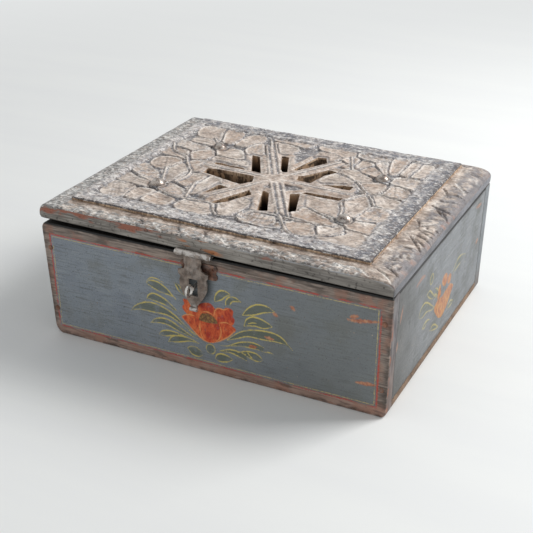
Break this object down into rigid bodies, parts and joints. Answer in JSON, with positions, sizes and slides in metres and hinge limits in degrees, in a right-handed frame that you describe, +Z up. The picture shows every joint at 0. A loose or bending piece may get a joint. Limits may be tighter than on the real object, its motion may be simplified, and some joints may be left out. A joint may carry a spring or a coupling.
{
  "type": "storage box",
  "caption": "Rustic wooden box for papers and keepsakes, with a carved and pierced lid panel, domed boss nails, painted flowers and an iron hasp over a padlock eye.",
  "frame": {"origin": "middle of the whole outline on the table, under the box", "axes": "+X to the right along the front, +Y to the back where the lid's hinges are, +Z up"},
  "size_m": [0.3001, 0.2602, 0.1235],
  "materials": {
    "body_paint": "worn matt paint",
    "bare_wood": "bare and aged",
    "lid_wood": "worn paint, aged",
    "panel_wood": "carved, worn paint",
    "iron": "hand-worked, rusted"
  },
  "bodies": {
    "box": {"front_board": "body_paint", "back_board": "body_paint", "left_board": "body_paint", "right_board": "body_paint", "bottom_board": "bare_wood", "corner_nails": "iron", "bottom_nails": "iron", "strike_plate": "iron", "strike_nails": "iron", "padlock_eye": "iron", "hinge_box_leaf_left": "iron", "hinge_pin_left": "iron", "hinge_box_leaf_right": "iron", "hinge_pin_right": "iron", "hinge_box_nails": "iron"},
    "lid": {"lid_board": "lid_wood", "carved_panel": "panel_wood", "boss_nails": "iron", "hasp_leaf": "iron", "hasp_leaf_nails": "iron", "hasp_pin": "iron", "hinge_lid_leaf_left": "iron", "hinge_lid_leaf_right": "iron", "hinge_lid_nails": "iron"},
    "hasp": {"hasp": "iron"}
  },
  "joints": [
    {"name": "lid_hinge", "type": "hinge", "parent": "box", "child": "lid", "pos_m": [0, 0.12765, 0.1015], "axis": [-1, 0, 0], "range_deg": [0, 180]},
    {"name": "hasp_hinge", "type": "hinge", "parent": "lid", "child": "hasp", "pos_m": [-0.00819, -0.11655, 0.10268], "axis": [-0.9999, 0, 0.01], "range_deg": [0, 188]}
  ]
}
